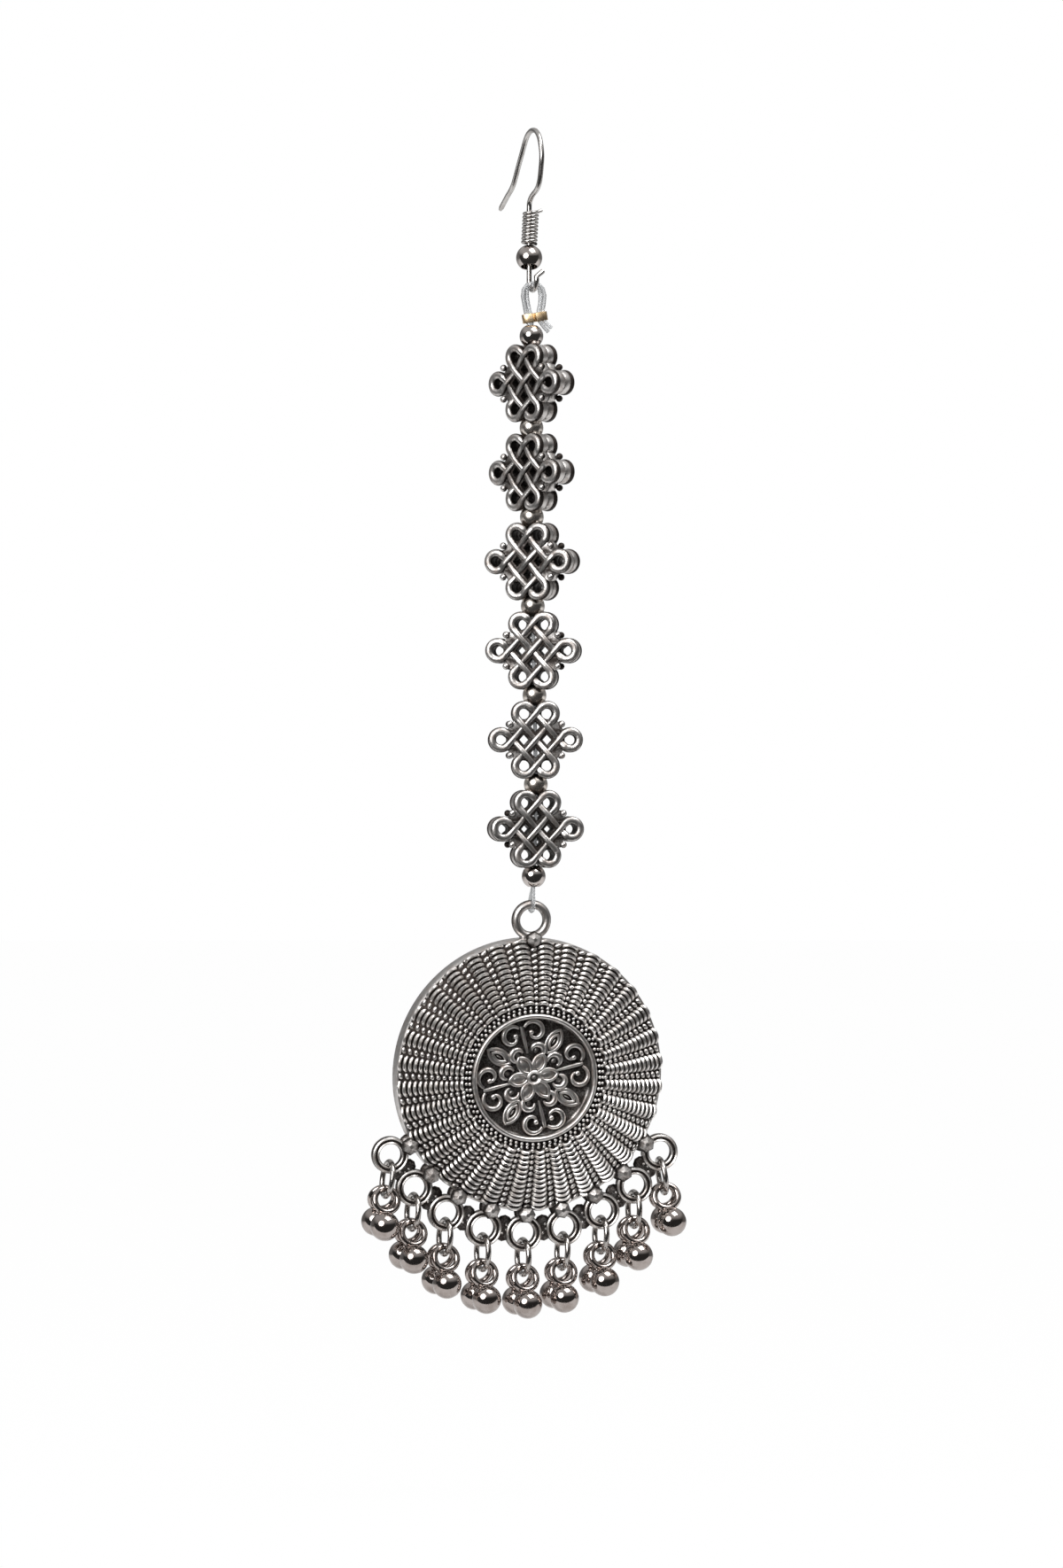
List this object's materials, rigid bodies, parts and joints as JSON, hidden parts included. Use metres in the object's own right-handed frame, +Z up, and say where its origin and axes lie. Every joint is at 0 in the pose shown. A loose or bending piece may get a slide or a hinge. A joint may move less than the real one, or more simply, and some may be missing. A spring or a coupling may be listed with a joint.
{
  "type": "maang_tikka",
  "caption": "Long maang tikka with an ear-wire hook, a string of pierced knot beads and ball beads, a domed ribbed disc pendant, and ball drops swinging from its lower rim.",
  "frame": {"origin": "inside of the hook's top, where the jewel hangs", "axes": "+Z up along the bead string, front faces -Y"},
  "size_m": [0.0414, 0.017, 0.1494],
  "materials": {
    "antique_silver": "oxidised antique silver plate, satin",
    "bead_metal": "polished dark nickel plate",
    "wire_steel": "satin",
    "crimp_brass": "satin",
    "clear_nylon": "clear, glossy"
  },
  "bodies": {
    "string": {"ear_wire": "wire_steel", "ear_wire_coil": "wire_steel", "ear_wire_ball": "bead_metal", "thread": "clear_nylon", "crimp": "crimp_brass", "ball_top": "bead_metal", "knot_1": "antique_silver", "knot_2": "antique_silver", "knot_3": "antique_silver", "knot_4": "antique_silver", "knot_5": "antique_silver", "knot_6": "antique_silver", "spacer_1": "bead_metal", "spacer_2": "bead_metal", "spacer_3": "bead_metal", "spacer_4": "bead_metal", "spacer_5": "bead_metal", "ball_bottom": "bead_metal"},
    "pendant": {"pendant": "antique_silver", "jump_ring_1": "wire_steel", "jump_ring_2": "wire_steel", "jump_ring_3": "wire_steel", "jump_ring_4": "wire_steel", "jump_ring_5": "wire_steel", "jump_ring_6": "wire_steel", "jump_ring_7": "wire_steel", "jump_ring_8": "wire_steel", "jump_ring_9": "wire_steel", "drop_front_1": "bead_metal", "drop_front_2": "bead_metal", "drop_front_3": "bead_metal", "drop_front_4": "bead_metal", "drop_front_5": "bead_metal", "drop_front_6": "bead_metal", "drop_front_7": "bead_metal", "drop_front_8": "bead_metal", "drop_front_9": "bead_metal", "drop_back_1": "bead_metal", "drop_back_2": "bead_metal", "drop_back_3": "bead_metal", "drop_back_4": "bead_metal", "drop_back_5": "bead_metal", "drop_back_6": "bead_metal", "drop_back_7": "bead_metal", "drop_back_8": "bead_metal", "drop_back_9": "bead_metal"}
  },
  "joints": [
    {"name": "pendant_swing", "type": "hinge", "parent": "string", "child": "pendant", "pos_m": [-0.00018, 0, -0.09768], "axis": [0.2504, -0.9681, 0], "range_deg": [-45, 45]}
  ]
}
